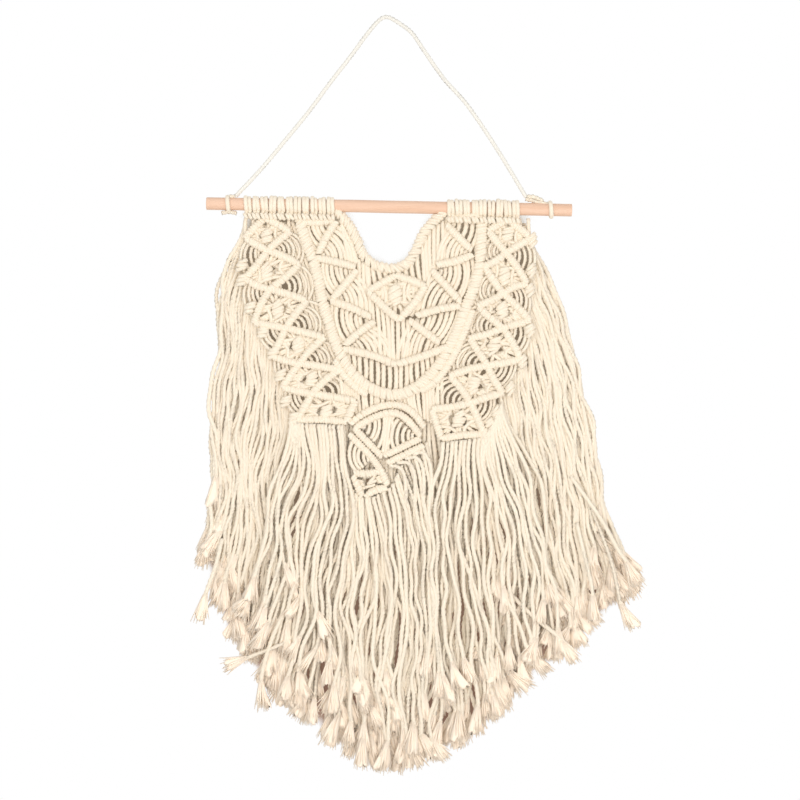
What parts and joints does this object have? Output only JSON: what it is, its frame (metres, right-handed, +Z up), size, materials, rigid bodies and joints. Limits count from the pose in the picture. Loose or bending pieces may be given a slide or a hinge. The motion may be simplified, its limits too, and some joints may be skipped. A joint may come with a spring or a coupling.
{
  "type": "macrame wall hanging on a wooden dowel",
  "caption": "Cream cotton macrame on a plain wooden dowel: two knotted wings, a U band round an open yoke, a pendant and a long pointed fringe, hung from a cord.",
  "frame": {"origin": "top of the hanging cord, where a nail or hook holds it", "axes": "+Z up, the front faces -Y, +X to the viewer's right"},
  "size_m": [0.4086, 0.0227, 0.7253],
  "materials": {
    "cotton": "matt twisted cotton cord",
    "wood": "bare, finely sanded"
  },
  "bodies": {
    "root": {"dowel": "wood", "hanging_cord": "cotton", "tie_left": "cotton", "tie_right": "cotton", "heading_left": "cotton", "heading_right": "cotton", "u_band": "cotton", "wing_left": "cotton", "wing_right": "cotton", "yoke": "cotton", "pendant": "cotton", "fringe_side_left": "cotton", "fringe_side_right": "cotton", "fringe_centre": "cotton", "fringe_low_left": "cotton", "fringe_low_right": "cotton", "fringe_pendant": "cotton"}
  },
  "joints": []
}
